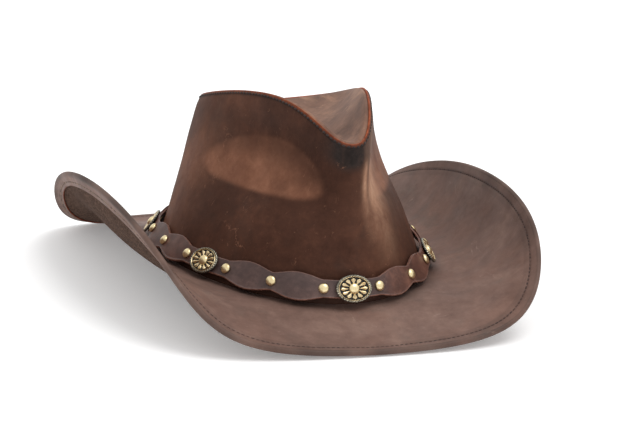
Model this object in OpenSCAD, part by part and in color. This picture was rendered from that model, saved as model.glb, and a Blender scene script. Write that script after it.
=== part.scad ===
// Leather cowboy hat: pinched crown, curled brim and a riveted band of conchos.
// Millimetres. +Z is up, the front of the hat faces -Y, the wearer's left is +X.
// z = 0 is the table that the brim's front and back rest on.
// Angles run round the hat: 0 is the front, 90 the wearer's left, 180 the back.

/* [Crown] */
// Half the width of the crown at its foot, outside
foot_half_w = 86; // [74:0.5:98]
// Half the length of the crown at its foot, outside
foot_half_l = 109; // [90:0.5:118]
// How far the crown sits forward of the brim's middle
foot_forward = 11.5; // [0:0.5:14]
// Mean height of the crown's foot over the table
foot_height = 20.5; // [17:0.5:28]
// How much lower the foot is at the front and back than at the sides, halved
foot_sag = 3; // [0:0.5:7]
// Height of the rim over the table, averaged round the crown
rim_height = 126.5; // [105:0.5:150]
// Half the length of the rim
rim_half_l = 89.5; // [76:0.5:92]
// Half the width of the rim before the pinch
rim_half_w = 42; // [36:0.5:54]
// Width that the pinch takes from the front of the rim and gives to the back
rim_pinch = 13; // [0:0.5:18]
// How far the rim sits forward of the brim's middle
rim_forward = 19.5; // [8:0.5:22]
// Depth of the two dents in the crown's front quarters
dent_depth = 12.5; // [0:0.5:15]
// Angle from the front to the middle of each dent
dent_angle = 50; // [25:1:60]
// Height of the crown's creased top at its middle, over the table
crease_height = 107; // [92:0.5:112]

/* [Brim] */
// Half the width of the brim, curled
brim_half_w = 132.5; // [120:0.5:155]
// Half the length of the brim
brim_half_l = 177.5; // [160:0.5:195]
// Height that the brim's sides curl up
curl_height = 69.5; // [40:0.5:85]
// Width of the turned hem under the brim's edge
hem_w = 8; // [6:0.5:14]
// Diameter of the wire in the brim's edge
wire_d = 1.6; // [1:0.1:2.4]

/* [Leather] */
// Thickness of the crown's side leather
hide = 1.4; // [1:0.1:2]
// Thickness of the brim's top leather
brim_hide = 1.1; // [0.8:0.1:1.6]
// Thickness of the suede under the brim
suede = 0.9; // [0.6:0.1:1.4]
// Thickness of the crown's top panel
tip_hide = 1.1; // [0.8:0.1:1.4]
// Thickness of the sweatband
sweat_hide = 1; // [0.6:0.1:1.4]
// Height of the sweatband
sweat_h = 38; // [25:1:45]
// Height of the seam allowance turned up inside the crown
collar_h = 7; // [4:0.5:9]

/* [Thread] */
// Thickness of the thread
thread_d = 0.8; // [0.5:0.1:1]
// Length of one stitch with its gap
stitch_pitch = 7; // [6:0.5:10]
// Distance of the stitch line from the brim's edge
brim_stitch_in = 7; // [6:0.5:11]

/* [Hat band] */
// Thickness of the band's strap
strap_t = 2.2; // [1.6:0.1:3]
// Height of the strap between two studs
strap_wide = 18; // [14:0.5:20]
// Height of the strap at a stud
strap_narrow = 11.5; // [9:0.5:14]
// Gap between the crown's wall and the strap's top edge
strap_gap = 1.6; // [1.3:0.1:2.4]
// Gap between the brim and the lowest part of the strap
strap_rest = 2.2; // [1:0.1:3]
// Distance along the strap from a concho to the stud beside it
stud_step = 19; // [17:0.5:24]
// Diameter of a stud's domed cap
stud_d = 6.6; // [5:0.1:8]
// Length of a concho
concho_w = 24; // [20:0.5:28]
// Height of a concho
concho_h = 17.6; // [16:0.1:19]
// Thickness of a concho at its edge
concho_t = 1.8; // [1.2:0.1:2.4]

/* [Hidden] */

// Gap between two layers of leather that are sewn together
lay = 0.05;
// Angles at which the leather panels are sampled
TURN_STEP = 360 / 64;
TURN = [for (i = [0:63]) i * TURN_STEP];

// Brim outline: how square its ends are (1 is a plain oval), how its sides fill out and its corners
end_square = 3.5;
side_flare = 13.5;
corner_flare = 3.2;
// Brim edge: how far the quarters tuck down, and how much more at the back
quarter_tuck = 8.4;
back_tuck = 5.3;
// Radius of the rolled edge round the wire, and the depth of the flat hem
roll_r = brim_hide + wire_d / 2;
hem_top = brim_hide + suede + 2 * lay;
hem_low = hem_top + brim_hide;

// Crown wall: rise and run of its lower part, and the share of its upper part
wall_lift = 0.30;
wall_run = 0.36;
wall_crest = 0.30;
// Radius over which the crown turns in at the rim, and the angle at which its crest lies
lip_r = 4.5;
lip_end = 95;
// How far round that radius the wall's raw edge lies, from the wall's own lean
raw_turn = 26;
// Size of a dent, in degrees round and as a share of the wall's height
dent_span = 35;
dent_tall = 0.22;
dent_at = 0.64;
// Rim height: front rise, side rise, peak rise and back ripple
rim_wave = [7.3, -10.4, -2.5, -0.8];
// How square the rim is, and how much narrower the foot is at the front than at the back
rim_square = 2.7;
foot_taper = 0.017;
// Width of the top panel's margin sewn under the wall
tip_margin = 0.06;
// Steepness of the top panel's sides
crease_power = 2.2;

// Shank radius of every rivet, the play round it, and the burr behind the strap
shank_r = 0.9;
shank_play = 0.04;
burr_t = 0.45;
burr_seat = 0.1;
// Lean of the strap towards the crown, at the front, the sides and the back
strap_lean_front = 22;
strap_lean_side = 38;
strap_lean_back = 26;

function unit(v) = v / norm(v);
function side_of(run) = unit([run.y, -run.x, 0]);
function bezier(p, u) =
    p[0] * pow(1 - u, 3) + 3 * p[1] * u * pow(1 - u, 2)
    + 3 * p[2] * u * u * (1 - u) + p[3] * pow(u, 3);

// ---- The three curves that the hat hangs on ----

// Foot of the crown, where it meets the top of the brim
function foot(t) = [
    foot_half_w * (sin(t) - foot_taper * sin(2 * t)),
    -foot_forward - foot_half_l * cos(t),
    foot_height - foot_sag * cos(2 * t)
];
function foot_out(t) = side_of(foot(t + 1) - foot(t - 1));

// Crest of the crown along the rim
function rim(t) = [
    rim_half_w * sin(t) - rim_pinch * sin(2 * t) + rim_square * sin(3 * t),
    -rim_forward - rim_half_l * cos(t),
    rim_height + rim_wave[0] * cos(t) + rim_wave[1] * cos(2 * t)
        + rim_wave[2] * cos(3 * t) + rim_wave[3] * cos(4 * t)
];
function rim_out(t) = side_of(rim(t + 1) - rim(t - 1));

// Outer edge of the brim's top face
function edge_z(t) =
    curl_height / 2 * (1 - cos(2 * t)) - quarter_tuck * (1 - cos(4 * t))
    + back_tuck * (cos(t) - cos(3 * t));
edge_low = min([for (t = [0:2:358]) edge_z(t)]);
function squared(c) = c * sqrt(end_square / (1 + (end_square - 1) * c * c));
function edge(t) = [
    (brim_half_w + side_flare) * sin(t) + side_flare * sin(3 * t) + corner_flare * sin(5 * t),
    -brim_half_l * squared(cos(t)),
    edge_z(t) - edge_low + 2 * roll_r
];

// ---- Surfaces: t goes round the hat, u goes up the wall or out along the brim ----

function rise(t) = rim(t).z - foot(t).z;
function lean(t) = atan2((foot(t) - rim(t)) * rim_out(t), rise(t)) + 4;
function lip_dir(t, a) = rim_out(t) * cos(a) + [0, 0, sin(a)];
function lip(t, a, r) = rim(t) + lip_dir(t, a) * r - lip_dir(t, lip_end) * lip_r;
function half_turn(t) = abs((t + 540) % 360 - 180);
function dent(t, u) =
    dent_depth * exp(-pow((half_turn(t) - dent_angle) / dent_span, 2)
        - pow((u - dent_at) / dent_tall, 2));
function wall_ends(t) =
    let (top = lip(t, lean(t), lip_r), run = top - foot(t))
    [
        foot(t),
        foot(t) + [run.x * wall_run, run.y * wall_run, run.z * wall_lift],
        top - lip_dir(t, lean(t) + 90) * run.z * wall_crest,
        top
    ];
// Outside of the crown's wall
function wall(t, u) =
    bezier(wall_ends(t), u) - unit(foot_out(t) + rim_out(t)) * dent(t, u);
function wall_n(t, u) =
    unit(cross(wall(t + 1, u) - wall(t - 1, u), wall(t, u + 0.01) - wall(t, u - 0.01)));
// The wall's surface moved in by d, level at the foot
function wall_in(t, u, d) =
    u == 0 ? foot(t) - foot_out(t) * d : wall(t, u) - wall_n(t, u) * d;
// Share of the wall that lies h above the foot
function wall_share(t, h) = h / (3 * wall_lift * rise(t));

function brim_ends(t) =
    let (
        a = foot(t), b = edge(t), run = [b.x - a.x, b.y - a.y, 0],
        lift = b.z - a.z, curl = max(0, min(1, edge_z(t) / curl_height))
    )
    [
        a,
        a + run * 0.45 + [0, 0, min(lift, 0) * 0.45],
        b - run * (0.40 - 0.28 * curl) - [0, 0, lift * 0.55 * curl],
        b
    ];
// Top face of the brim
function brim(t, u) = bezier(brim_ends(t), u);
function brim_n(t, u) =
    unit(cross(brim(t, u + 0.01) - brim(t, u - 0.01), brim(t + 1, u) - brim(t - 1, u)));
function brim_in(t, u, d) = brim(t, u) - brim_n(t, u) * d;
// Share of the brim that lies d in from its edge
function brim_share(t, d) = 1 - d / (norm(brim(t, 1) - brim(t, 0.9)) * 10);
// Point on the rolled edge: angle a from the outward run, radius r
function roll(t, a, r) =
    let (n = brim_n(t, 1), o = unit(brim(t, 1) - brim(t, 0.98)))
    edge(t) - (o + n) * roll_r + (o * cos(a) + n * sin(a)) * r;

// Creased top panel, moved down by d: r is 0 at the middle and 1 at the rim
function tip_xy(t, r) = [rim(t).x * r, -rim_forward + (rim(t).y + rim_forward) * r];
function tip(t, r, d) =
    let (low = crease_height, high = lip(t, lip_end, lip_r - hide - lay).z)
    [tip_xy(t, r).x, tip_xy(t, r).y, low + (high - low) * pow(r, crease_power) - d];

// ---- Skins and threads ----

// A four-cornered patch as two triangles, cut along its shorter diagonal, so that
// two layers that lie on each other are cut alike
function patch(p, a, b, c, d) =
    norm(p[a] - p[c]) < norm(p[b] - p[d]) ? [[a, b, c], [a, c, d]] : [[a, b, d], [b, c, d]];

// Closed skin over rings of points; the last ring joins the first
module skin(rings) {
    n = len(rings[0]);
    m = len(rings);
    points = [for (ring = rings) each ring];
    polyhedron(
        points = points,
        faces = [
            for (i = [0:m - 1]) for (j = [0:n - 1])
                let (
                    a = i * n + j, b = i * n + (j + 1) % n,
                    c = ((i + 1) % m) * n + (j + 1) % n, d = ((i + 1) % m) * n + j
                )
                each patch(points, a, b, c, d)
        ],
        convexity = 10
    );
}

// Closed skin over rings of points, with a point in the middle at each end
module capped_skin(rings, first, last) {
    n = len(rings[0]);
    m = len(rings);
    points = concat([for (ring = rings) each ring], [first, last]);
    polyhedron(
        points = points,
        faces = concat(
            [
                for (i = [0:m - 2]) for (j = [0:n - 1])
                    let (
                        a = i * n + j, b = i * n + (j + 1) % n,
                        c = (i + 1) * n + (j + 1) % n, d = (i + 1) * n + j
                    )
                    each patch(points, a, b, c, d)
            ],
            [for (j = [0:n - 1]) [(j + 1) % n, j, m * n]],
            [for (j = [0:n - 1]) [(m - 1) * n + j, (m - 1) * n + (j + 1) % n, m * n + 1]]
        ),
        convexity = 10
    );
}

// Thread that follows a closed path of points, three-sided
module thread(path) {
    n = len(path);
    runs = [for (i = [0:n - 1]) unit(path[(i + 1) % n] - path[(i + n - 1) % n])];
    skin([
        for (k = [2:-1:0])
            [
                for (i = [0:n - 1])
                    let (x = unit(cross(runs[i], [0, 0, 1])), y = cross(x, runs[i]))
                    path[i] + (x * cos(120 * k + 90) + y * sin(120 * k + 90)) * thread_d / 2
            ]
    ]);
}

// Running length of a closed curve, as [length, angle] pairs for lookup
function lengths(pts, step) = [
    for (i = 0, s = 0; i <= len(pts); s = s + norm(pts[(i + 1) % len(pts)] - pts[i % len(pts)]), i = i + 1)
        [s, i * step]
];
function total(table) = table[len(table) - 1][0];
// Angles of count points spread evenly along a curve
function even_turns(table, count) = [for (i = [0:count - 1]) lookup(total(table) * i / count, table)];

// ---- Crown ----

WALL_RINGS = 10;
LIP_STEPS = 2;

// Angle of the k-th ring of the wall's turned top, and of the top panel's shoulder
function raw_a(t, k) = lean(t) + raw_turn * k / LIP_STEPS;
function lip_a(t, k) = k <= LIP_STEPS ? raw_a(t, k) : raw_a(t, LIP_STEPS) + (lip_end - raw_a(t, LIP_STEPS)) * (k - LIP_STEPS) / 2;

module crown_side() {
    up = [0, 0, lay];
    color([0.29, 0.18, 0.14])
    skin(concat(
        [for (k = [0:WALL_RINGS - 1]) [for (t = TURN) wall_in(t, k / WALL_RINGS, hide) + up]],
        [for (k = [0:LIP_STEPS]) [for (t = TURN) lip(t, raw_a(t, k), lip_r - hide) + up]],
        [for (k = [LIP_STEPS:-1:0]) [for (t = TURN) lip(t, raw_a(t, k), lip_r) + up]],
        [for (k = [WALL_RINGS - 1:-1:0]) [for (t = TURN) wall(t, k / WALL_RINGS) + up]]
    ));
}

TIP_RINGS = [0.2, 0.4, 0.6, 0.8, 0.93];

module crown_tip() {
    under = hide + lay;
    color([0.42, 0.29, 0.23])
    capped_skin(
        concat(
            [for (r = TIP_RINGS) [for (t = TURN) tip(t, r, 0)]],
            [for (k = [LIP_STEPS + 2:-1:0]) [for (t = TURN) lip(t, lip_a(t, k), lip_r - under)]],
            [[for (t = TURN) wall_in(t, 1 - tip_margin, under + lay)]],
            [[for (t = TURN) wall_in(t, 1 - tip_margin, under + lay + tip_hide)]],
            [for (k = [0:LIP_STEPS + 2]) [for (t = TURN) lip(t, lip_a(t, k), lip_r - under - tip_hide)]],
            [for (k = [len(TIP_RINGS) - 1:-1:0]) [for (t = TURN) tip(t, TIP_RINGS[k], tip_hide * 1.2)]]
        ),
        tip(0, 0, 0),
        tip(0, 0, tip_hide * 1.2)
    );
}

// Thread over and under: out lies on the outside of the layers, back on the inside
module running_stitch(count, table, level) {
    turns = even_turns(table, count * 4);
    thread([
        for (i = [0:count * 4 - 1])
            let (over = i % 4 < 2)
            level(turns[i], over)
    ]);
}

function crown_stitch(t, over) =
    lip(t, lean(t), over ? lip_r + thread_d * 0.2 : lip_r - hide - tip_hide - lay * 2 - thread_d * 0.2);

module crown_stitching() {
    table = lengths([for (t = TURN) crown_stitch(t, true)], TURN_STEP);
    color([0.16, 0.12, 0.1])
    running_stitch(round(total(table) / stitch_pitch), table, function(t, over) crown_stitch(t, over));
}

// ---- Brim ----

BRIM_RINGS = 6;
function brim_u(t, k) = brim_share(t, roll_r + hem_w) * k / BRIM_RINGS;
roll_tuck = roll_r + wire_d / 2 + 0.3;
function collar(t, d) = wall_in(t, wall_share(t, collar_h), d);

module brim_top() {
    out = hide + lay;
    color([0.41, 0.32, 0.28])
    skin(concat(
        [for (k = [0:BRIM_RINGS]) [for (t = TURN) brim(t, brim_u(t, k))]],
        [[for (t = TURN) brim(t, brim_share(t, roll_tuck))]],
        [for (a = [90:-30:-90]) [for (t = TURN) roll(t, a, roll_r)]],
        [[for (t = TURN) brim_in(t, brim_share(t, roll_tuck + 1), hem_low)]],
        [[for (t = TURN) brim_in(t, brim_u(t, BRIM_RINGS), hem_low)]],
        [[for (t = TURN) brim_in(t, brim_u(t, BRIM_RINGS), hem_top)]],
        [[for (t = TURN) brim_in(t, brim_share(t, roll_tuck), hem_top)]],
        [for (a = [-90:60:90]) [for (t = TURN) roll(t, a, wire_d / 2 + lay)]],
        [[for (t = TURN) brim_in(t, brim_share(t, roll_tuck), brim_hide)]],
        [for (k = [BRIM_RINGS:-1:1]) [for (t = TURN) brim_in(t, brim_u(t, k), brim_hide)]],
        [[for (t = TURN) wall_in(t, 0, out + brim_hide) - [0, 0, brim_hide]]],
        [[for (t = TURN) collar(t, out + brim_hide)]],
        [[for (t = TURN) collar(t, out)]],
        [[for (t = TURN) wall_in(t, 0, out)]]
    ));
}

module brim_underlay() {
    top = brim_hide + lay;
    out = hide + brim_hide + 2 * lay;
    color([0.34, 0.26, 0.22])
    skin(concat(
        [for (k = [1:BRIM_RINGS]) [for (t = TURN) brim_in(t, brim_u(t, k), top)]],
        [[for (t = TURN) brim_in(t, brim_share(t, roll_tuck), top)]],
        [[for (t = TURN) brim_in(t, brim_share(t, roll_tuck), top + suede)]],
        [for (k = [BRIM_RINGS:-1:1]) [for (t = TURN) brim_in(t, brim_u(t, k), top + suede)]],
        [[for (t = TURN) wall_in(t, 0, out + suede) - [0, 0, top + suede]]],
        [[for (t = TURN) collar(t, out + suede)]],
        [[for (t = TURN) collar(t, out)]],
        [[for (t = TURN) wall_in(t, 0, out) - [0, 0, top]]]
    ));
}

module brim_wire() {
    color([0.45, 0.45, 0.46])
    skin([for (a = [150:-60:-150]) [for (t = TURN) roll(t, a, wire_d / 2)]]);
}

function brim_stitch(t, over) =
    brim_in(t, brim_share(t, brim_stitch_in), over ? -thread_d * 0.2 : hem_low + thread_d * 0.2);

module brim_stitching() {
    table = lengths([for (t = TURN) brim_stitch(t, true)], TURN_STEP);
    color([0.16, 0.12, 0.1])
    running_stitch(round(total(table) / stitch_pitch), table, function(t, over) brim_stitch(t, over));
}

// ---- Sweatband ----

sweat_out = hide + brim_hide + suede + 3 * lay;
function sweat(t, h, d) =
    wall_in(t, wall_share(t, h), sweat_out + d) - (h == 0 ? [0, 0, brim_hide + suede] : [0, 0, 0]);

module sweatband() {
    SWEAT_H = [0, collar_h, sweat_h * 0.6, sweat_h];
    color([0.23, 0.16, 0.13])
    skin(concat(
        [for (h = SWEAT_H) [for (t = TURN) sweat(t, h, 0)]],
        [for (k = [3:-1:0]) [for (t = TURN) sweat(t, SWEAT_H[k], sweat_hide)]]
    ));
}

function foot_stitch(t, over) =
    wall_in(t, wall_share(t, collar_h / 2), over ? -thread_d * 0.2 : sweat_out + sweat_hide + thread_d * 0.2);

module foot_stitching() {
    table = lengths([for (t = TURN) foot_stitch(t, true)], TURN_STEP);
    color([0.16, 0.12, 0.1])
    running_stitch(round(total(table) / stitch_pitch / 2), table, function(t, over) foot_stitch(t, over));
}

// ---- Hat band ----

function strap_lean(t) =
    strap_lean_side * pow(sin(t), 2)
    + (strap_lean_front * (1 + cos(t)) + strap_lean_back * (1 - cos(t))) / 2 * pow(cos(t), 2);
// Directions out of the strap's outer face and up along it
function strap_n(t) = foot_out(t) * cos(strap_lean(t)) + [0, 0, sin(strap_lean(t))];
function strap_up(t) = [0, 0, cos(strap_lean(t))] - foot_out(t) * sin(strap_lean(t));
// Middle of the strap's outer face: its inner top edge stands strap_gap off the crown's wall
function strap_line(t) =
    let (tall = strap_rest + strap_wide * cos(strap_lean(t)), w = wall(t, wall_share(t, tall)))
    [w.x, w.y, foot(t).z + tall] + foot_out(t) * strap_gap
    + strap_n(t) * strap_t - strap_up(t) * strap_wide / 2;
STRAP_TABLE = lengths([for (t = [0:2:358]) strap_line(t)], 2);
strap_len = total(STRAP_TABLE);
CONCHOS = 6;
concho_step = strap_len / CONCHOS;
function strap_turn(s) = lookup((s + strap_len) % strap_len, STRAP_TABLE);

// Half the strap's height at s along it: narrow at the studs, wide between them
function strap_half(s) =
    let (m = s % concho_step, near = min(m, concho_step - m), f = (near - stud_step) / (concho_step / 2 - stud_step))
    strap_narrow / 2 + (f <= 0 ? 0 : (strap_wide - strap_narrow) / 2 * pow(sin(180 * f), 1.3));
// Point on the strap: d in from its outer face, h up from its middle
function strap_at(t, d, h) = strap_line(t) - strap_n(t) * d + strap_up(t) * h;

// Places along the strap
STUDS = [
    for (q = [0:CONCHOS - 1])
        each [q * concho_step + stud_step, (q + 0.5) * concho_step, (q + 1) * concho_step - stud_step]
];
CONCHO_AT = [for (q = [0:CONCHOS - 1]) q * concho_step];

// Puts children on the strap's outer face at s, with +Z pointing out of it
module on_strap(s) {
    t = strap_turn(s);
    o = foot_out(t);
    translate(strap_line(t))
    rotate([0, 0, atan2(o.y, o.x)])
    rotate([0, 90 - strap_lean(t), 0])
    rotate([0, 0, 90])
    children();
}

module hat_band_strap() {
    STRAP_POINTS = 120;
    at = [for (i = [0:STRAP_POINTS - 1]) strap_len * i / STRAP_POINTS];
    color([0.27, 0.19, 0.18])
    difference() {
        skin([
            for (c = [[0, -1], [strap_t, -1], [strap_t, 1], [0, 1]])
                [for (s = at) strap_at(strap_turn(s), c[0], strap_half(s) * c[1])]
        ]);
        for (s = concat(STUDS, CONCHO_AT))
            on_strap(s) translate([0, 0, -strap_t - 2]) cylinder(h = strap_t + 3, r = shank_r + shank_play, $fn = 24);
    }
}

// Domed cap with its shank: the dome sits at z = seat
module rivet(d, tall, seat) {
    rotate_extrude($fn = 48)
    polygon(concat(
        [[0, seat]],
        [[d / 2, seat]],
        [for (a = [0:15:75]) [d / 2 * cos(a), seat + 0.4 + (tall - 0.4) * sin(a)]],
        [[0, seat + tall]]
    ));
    foot_z = strap_t + burr_seat + burr_t;
    translate([0, 0, -foot_z - 0.05])
    cylinder(h = foot_z + 0.1 + seat, r = shank_r, $fn = 24);
}

module stud_caps() {
    color([0.72, 0.6, 0.36])
    for (s = STUDS) on_strap(s) rivet(stud_d, 2.4, 0.12);
}

concho_seat = 0.5;
module concho_rivets() {
    color([0.72, 0.6, 0.36])
    for (s = CONCHO_AT) on_strap(s) rivet(stud_d, 2.6, concho_seat + concho_t);
}

module rivet_burrs() {
    color([0.55, 0.45, 0.3])
    for (s = concat(STUDS, CONCHO_AT))
        on_strap(s)
        translate([0, 0, -strap_t - burr_seat - burr_t])
        difference() {
            cylinder(h = burr_t, r = 2.2, $fn = 36);
            translate([0, 0, -1]) cylinder(h = burr_t + 2, r = shank_r + shank_play, $fn = 24);
        }
}

// Outline of a concho shrunk by d, with a bead wave of height w
function oval(d, w) = [
    for (a = [0:6:354])
        let (b = w * abs(sin(a * 15)))
        [(concho_w / 2 - d + b) * cos(a), (concho_h / 2 - d + b) * sin(a)]
];
// Flower of twelve petals between the centre and the oval shrunk by d
function petals(d) = [
    for (a = [0:5:355])
        let (r = 1 - 0.22 * pow(abs(sin(a * 6)), 3))
        [(concho_w / 2 - d) * cos(a) * r, (concho_h / 2 - d) * sin(a) * r]
];

module concho(q) {
    color([0.55, 0.5, 0.38])
    on_strap(CONCHO_AT[q])
    translate([0, 0, concho_seat])
    difference() {
        union() {
            linear_extrude(concho_t * 0.5) polygon(oval(0.8, 0));
            linear_extrude(concho_t) difference() {
                polygon(oval(0.6, 0.6));
                polygon(oval(3, 0));
            }
            linear_extrude(concho_t * 0.85) polygon(petals(3.6));
            cylinder(h = concho_t, r = 2.6, $fn = 36);
            translate([0, 0, 0.1 - concho_seat]) cylinder(h = concho_seat, r = 3, $fn = 36);
        }
        translate([0, 0, -3]) cylinder(h = concho_t + 6, r = shank_r + shank_play, $fn = 24);
    }
}

module concho_front() { concho(0); }
module concho_left_front() { concho(1); }
module concho_left_rear() { concho(2); }
module concho_rear() { concho(3); }
module concho_right_rear() { concho(4); }
module concho_right_front() { concho(5); }

crown_side();
crown_tip();
crown_stitching();
brim_top();
brim_underlay();
brim_wire();
brim_stitching();
sweatband();
foot_stitching();
hat_band_strap();
stud_caps();
concho_rivets();
rivet_burrs();
concho_front();
concho_left_front();
concho_left_rear();
concho_rear();
concho_right_rear();
concho_right_front();
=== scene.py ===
import math

import bpy
import numpy as np
from mathutils import Matrix, Vector


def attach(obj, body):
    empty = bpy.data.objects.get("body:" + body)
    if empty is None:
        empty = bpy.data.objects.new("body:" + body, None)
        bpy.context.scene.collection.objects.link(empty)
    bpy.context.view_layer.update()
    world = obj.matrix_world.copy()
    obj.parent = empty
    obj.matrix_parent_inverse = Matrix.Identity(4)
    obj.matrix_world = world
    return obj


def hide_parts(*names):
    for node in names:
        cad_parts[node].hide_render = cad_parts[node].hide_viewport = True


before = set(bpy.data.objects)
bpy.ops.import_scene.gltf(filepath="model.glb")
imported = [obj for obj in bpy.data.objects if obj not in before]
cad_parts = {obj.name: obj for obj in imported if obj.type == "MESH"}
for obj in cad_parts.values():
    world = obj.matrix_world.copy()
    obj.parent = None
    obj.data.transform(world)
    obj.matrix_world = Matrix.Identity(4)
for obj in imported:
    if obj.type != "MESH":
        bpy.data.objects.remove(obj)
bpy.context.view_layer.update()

# Leather cowboy hat. Every panel is a skin over the same surfaces as the CAD design, sampled finely,
# with the small unevenness of worn leather. Sizes are in millimetres; MM turns them into metres.
MM = 0.001

# ---------------------------------------------------------------- sizes, as in the design

FOOT_W, FOOT_L, FOOT_FORWARD, FOOT_TAPER = 86, 109, 11.5, 0.017
FOOT_Z, FOOT_SAG = 20.5, 3
RIM_Z, RIM_L, RIM_W, RIM_PINCH, RIM_SQUARE, RIM_FORWARD = 126.5, 89.5, 42, 13, 2.7, 19.5
RIM_WAVE = (7.3, -10.4, -2.5, -0.8)
DENT_DEPTH, DENT_ANGLE, DENT_SPAN, DENT_AT, DENT_TALL = 12.5, 50, 35, 0.64, 0.22
CREASE_Z, CREASE_POWER = 107, 2.2
WALL_LIFT, WALL_RUN, WALL_CREST = 0.30, 0.36, 0.30
LIP_R, LIP_END, RAW_TURN = 4.5, 95, 26

BRIM_W, BRIM_L, CURL = 132.5, 177.5, 69.5
END_SQUARE, SIDE_FLARE, CORNER_FLARE, QUARTER_TUCK, BACK_TUCK = 3.5, 13.5, 3.2, 8.4, 5.3

HIDE, BRIM_HIDE, SUEDE, TIP_HIDE, SWEAT_HIDE = 1.4, 1.1, 0.9, 1.1, 1.0
SWEAT_H, COLLAR_H, HEM_W, WIRE_D = 38, 7, 8, 1.6
LAY = 0.05
ROLL_R = BRIM_HIDE + WIRE_D / 2
HEM_TOP = BRIM_HIDE + SUEDE + 2 * LAY
HEM_LOW = HEM_TOP + BRIM_HIDE
SWEAT_OUT = HIDE + BRIM_HIDE + SUEDE + 3 * LAY
BRIM_STITCH_IN = 7

STRAP_T, STRAP_WIDE, STRAP_NARROW = 2.2, 18, 11.5
STRAP_GAP, STRAP_REST, STUD_STEP = 1.6, 2.2, 19
STRAP_LEAN_FRONT, STRAP_LEAN_SIDE, STRAP_LEAN_BACK = 22, 38, 26
CONCHOS = 6
STUD_D, CONCHO_W, CONCHO_H, CONCHO_SEAT = 6.6, 24, 17.6, 0.5

# ---------------------------------------------------------------- numbers


def sin(a):
    return np.sin(np.radians(a))


def cos(a):
    return np.cos(np.radians(a))


def vec(x, y, z):
    return np.stack(np.broadcast_arrays(x, y, z), -1).astype(float)


def unit(v):
    return v / np.maximum(np.linalg.norm(v, axis=-1, keepdims=True), 1e-12)


def dot(a, b):
    return (a * b).sum(-1)


def bump(x, middle, width):
    """Bell of height 1."""
    return np.exp(-(((x - middle) / width) ** 2))


def smooth(x, low, high):
    """0 below low, 1 above high, smooth between."""
    s = np.clip((x - low) / (high - low), 0, 1)
    return s * s * (3 - 2 * s)


def lattice(i, j, k, seed):
    """Repeatable value from -1 to 1 at a grid corner."""
    h = (i * 374761393 + j * 668265263 + k * 2246822519 + seed * 3266489917) & 0xFFFFFFFF
    h = ((h ^ (h >> 13)) * 1274126177) & 0xFFFFFFFF
    h = ((h ^ (h >> 16)) * 2246822519) & 0xFFFFFFFF
    return (h ^ (h >> 15)) / 0xFFFFFFFF * 2 - 1


def wander(p, size, seed):
    """Smooth value noise at the points p, with features about size millimetres across."""
    q = np.asarray(p) / size + 1000.0
    cell = np.floor(q).astype(np.int64)
    f = q - cell
    f = f * f * (3 - 2 * f)
    out = 0
    for a in (0, 1):
        for b in (0, 1):
            for c in (0, 1):
                w = (
                    (f[..., 0] if a else 1 - f[..., 0])
                    * (f[..., 1] if b else 1 - f[..., 1])
                    * (f[..., 2] if c else 1 - f[..., 2])
                )
                out = out + w * lattice(cell[..., 0] + a, cell[..., 1] + b, cell[..., 2] + c, seed)
    return out


# ---------------------------------------------------------------- the surfaces of the hat


def side_of(run):
    return unit(vec(run[..., 1], -run[..., 0], 0))


def bezier(p, u):
    u = np.asarray(u)[..., None]
    return p[0] * (1 - u) ** 3 + 3 * p[1] * u * (1 - u) ** 2 + 3 * p[2] * u * u * (1 - u) + p[3] * u**3


def foot(t):
    wide = sin(t) - FOOT_TAPER * sin(2 * t)
    return vec(FOOT_W * wide, -FOOT_FORWARD - FOOT_L * cos(t), FOOT_Z - FOOT_SAG * cos(2 * t))


def foot_out(t):
    return side_of(foot(t + 1) - foot(t - 1))


def rim(t):
    wave = sum(RIM_WAVE[k] * cos((k + 1) * t) for k in range(4))
    wide = RIM_W * sin(t) - RIM_PINCH * sin(2 * t) + RIM_SQUARE * sin(3 * t)
    return vec(wide, -RIM_FORWARD - RIM_L * cos(t), RIM_Z + wave)


def rim_out(t):
    return side_of(rim(t + 1) - rim(t - 1))


def edge_z(t):
    return CURL / 2 * (1 - cos(2 * t)) - QUARTER_TUCK * (1 - cos(4 * t)) + BACK_TUCK * (cos(t) - cos(3 * t))


EDGE_LOW = edge_z(np.arange(0, 360, 2.0)).min()


def edge(t):
    c = cos(t)
    square = c * np.sqrt(END_SQUARE / (1 + (END_SQUARE - 1) * c * c))
    return vec(
        (BRIM_W + SIDE_FLARE) * sin(t) + SIDE_FLARE * sin(3 * t) + CORNER_FLARE * sin(5 * t),
        -BRIM_L * square,
        edge_z(t) - EDGE_LOW + 2 * ROLL_R,
    )


def rise(t):
    return rim(t)[..., 2] - foot(t)[..., 2]


def lean(t):
    return np.degrees(np.arctan2(dot(foot(t) - rim(t), rim_out(t)), rise(t))) + 4


def lip_dir(t, a):
    return rim_out(t) * cos(a)[..., None] + vec(0, 0, 1) * sin(a)[..., None]


def lip(t, a, r):
    """Point on the turned-in lip at the rim: angle a from outward to up, radius r."""
    t, a = np.broadcast_arrays(np.asarray(t, float), np.asarray(a, float))
    return rim(t) + lip_dir(t, a) * r - lip_dir(t, np.full_like(t, LIP_END)) * LIP_R


def half_turn(t):
    return np.abs((t + 540) % 360 - 180)


def crown_wear(p, t, u):
    """Unevenness of the crown's wall, outward in millimetres."""
    soft = 0.55 * wander(p, 42, 11) + 0.22 * wander(p, 15, 12) + 0.06 * wander(p, 5, 13)
    return soft * smooth(u, 0.16, 0.34) * (1 - smooth(u, 0.94, 1.0))


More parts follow.
